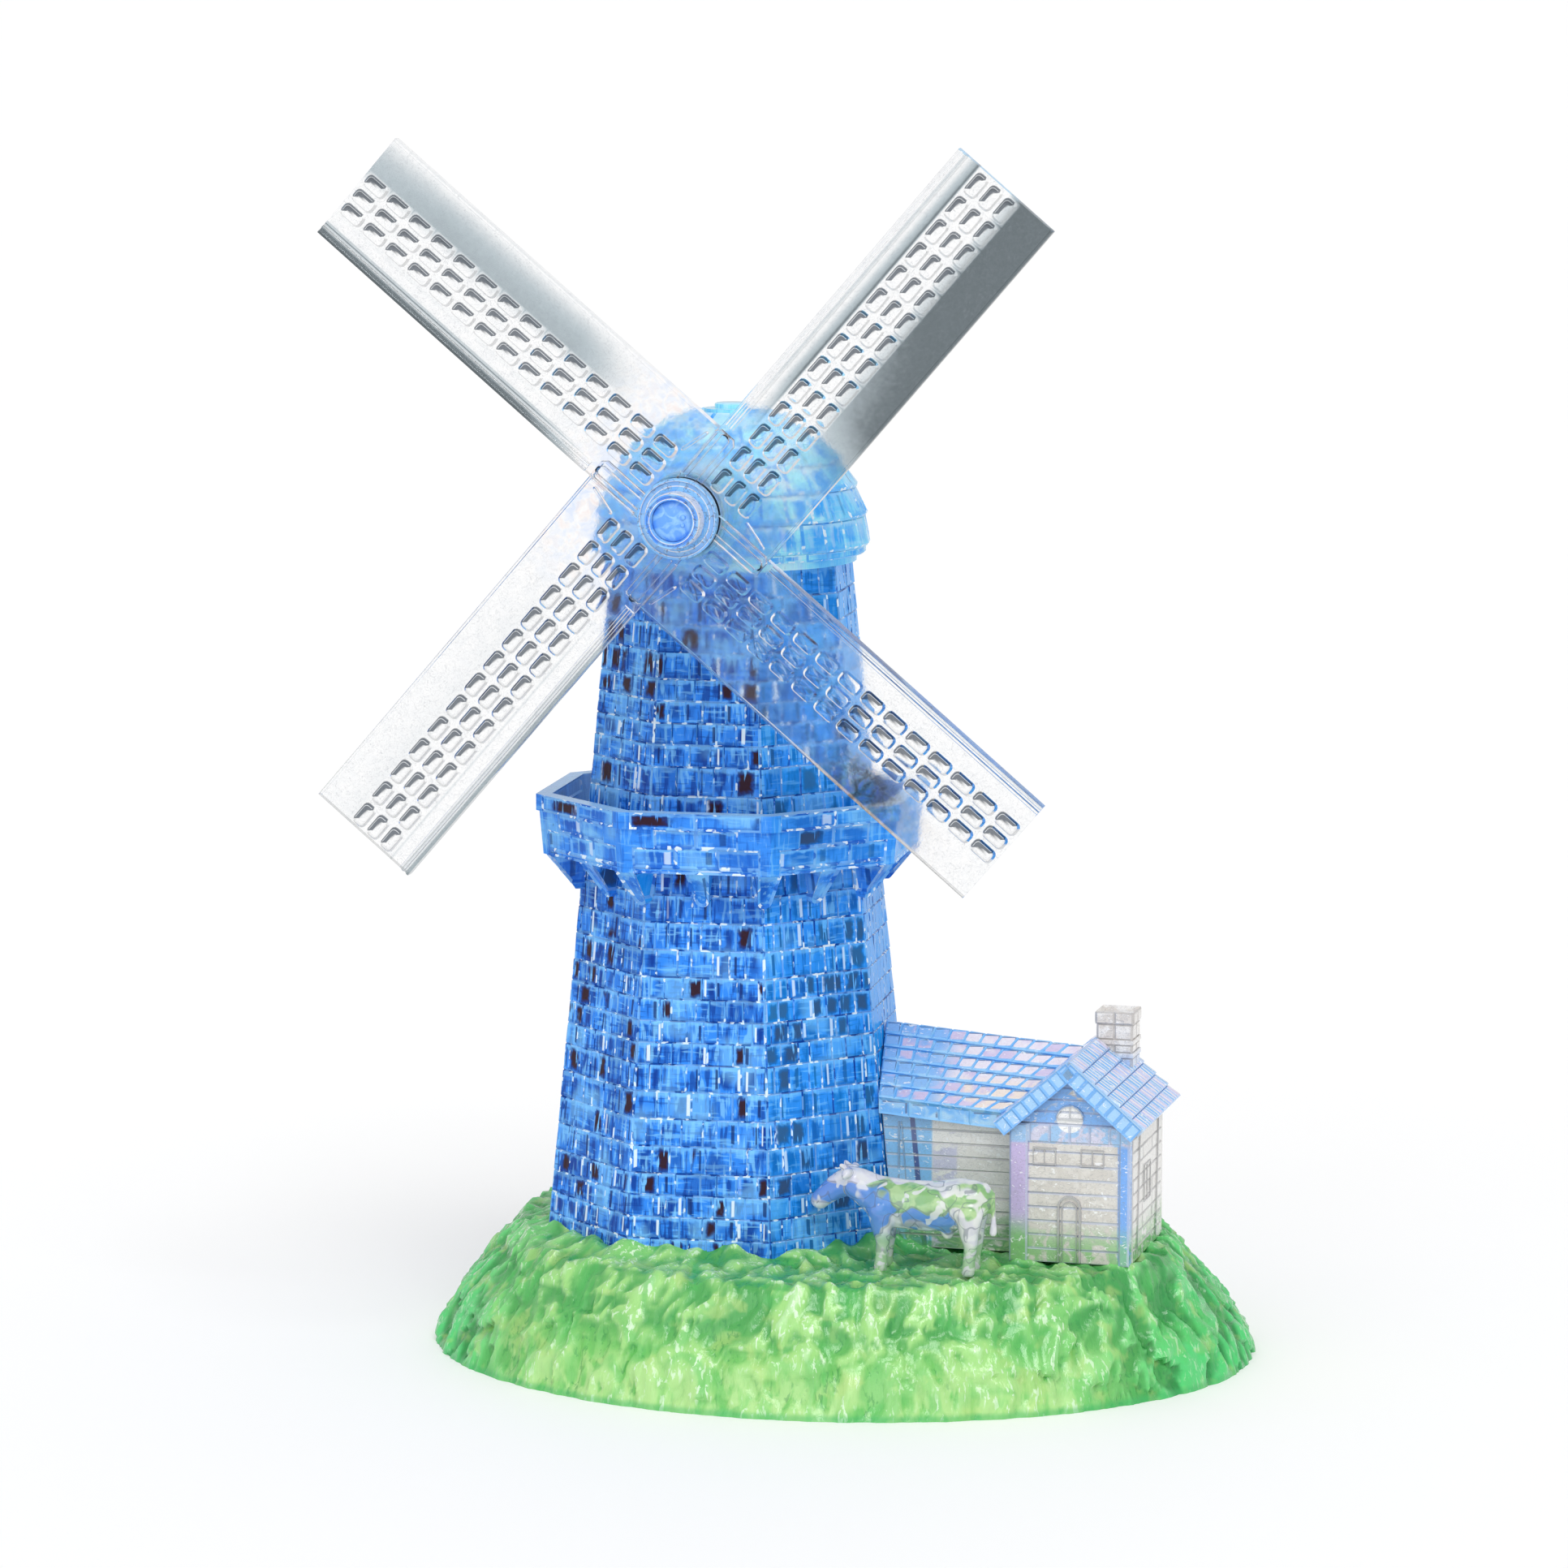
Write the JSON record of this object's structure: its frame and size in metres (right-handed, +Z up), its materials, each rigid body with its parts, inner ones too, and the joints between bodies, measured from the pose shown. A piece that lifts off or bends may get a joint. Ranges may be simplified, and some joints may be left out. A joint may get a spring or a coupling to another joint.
{
  "type": "crystal puzzle windmill model",
  "caption": "Translucent interlocking puzzle model of a tower windmill with turning sails, a cottage and a cow on a grass mound.",
  "frame": {"origin": "on the table, at the centre of the footprint box of the whole model with its sails in the resting X", "axes": "+Z up; +Y from the sails to the back; +X from the tower towards the cottage"},
  "size_m": [0.1346, 0.102, 0.1859],
  "materials": {
    "blue_plastic": "translucent cornflower blue, glossy, with moulded brick relief",
    "cap_plastic": "translucent light blue, glossy, with moulded shingles",
    "clear_plastic": "clear, glossy, with moulded relief",
    "green_plastic": "translucent green, glossy, with moulded grass"
  },
  "bodies": {
    "mill": {"base_mound": "green_plastic", "tower_layer1_a": "blue_plastic", "tower_layer1_b": "blue_plastic", "tower_layer1_c": "blue_plastic", "tower_layer1_d": "blue_plastic", "tower_layer2_a": "blue_plastic", "tower_layer2_b": "blue_plastic", "tower_layer2_c": "blue_plastic", "tower_layer2_d": "blue_plastic", "tower_layer3_a": "blue_plastic", "tower_layer3_b": "blue_plastic", "tower_layer3_c": "blue_plastic", "tower_layer3_d": "blue_plastic", "tower_layer4_a": "blue_plastic", "tower_layer4_b": "blue_plastic", "tower_layer4_c": "blue_plastic", "tower_layer4_d": "blue_plastic", "tower_layer5_a": "blue_plastic", "tower_layer5_b": "blue_plastic", "tower_layer5_c": "blue_plastic", "tower_layer5_d": "blue_plastic", "tower_layer6_a": "blue_plastic", "tower_layer6_b": "blue_plastic", "tower_layer6_c": "blue_plastic", "tower_layer6_d": "blue_plastic", "tower_layer7_a": "blue_plastic", "tower_layer7_b": "blue_plastic", "tower_layer7_c": "blue_plastic", "tower_layer7_d": "blue_plastic", "gallery_a": "blue_plastic", "gallery_b": "blue_plastic", "gallery_c": "blue_plastic", "gallery_d": "blue_plastic", "cap_ring": "cap_plastic", "dome_front": "cap_plastic", "dome_back": "cap_plastic", "dome_top": "cap_plastic", "shaft_housing": "cap_plastic", "wing_front": "clear_plastic", "wing_back": "clear_plastic", "wing_left": "clear_plastic", "wing_right": "clear_plastic", "wing_roof_left": "clear_plastic", "wing_roof_right": "clear_plastic", "main_front": "clear_plastic", "main_back": "clear_plastic", "main_roof_front": "clear_plastic", "main_roof_back": "clear_plastic", "chimney": "clear_plastic", "cow": "clear_plastic"},
    "rotor": {"windshaft": "clear_plastic", "shaft_clip": "clear_plastic", "hub": "clear_plastic", "hub_cap": "clear_plastic", "hub_collar": "clear_plastic", "sail_1": "clear_plastic", "sail_2": "clear_plastic", "sail_3": "clear_plastic", "sail_4": "clear_plastic"}
  },
  "joints": [
    {"name": "sail_spin", "type": "hinge", "parent": "mill", "child": "rotor", "pos_m": [-0.01275, -0.042, 0.1314], "axis": [0, -1, 0], "continuous": true}
  ]
}
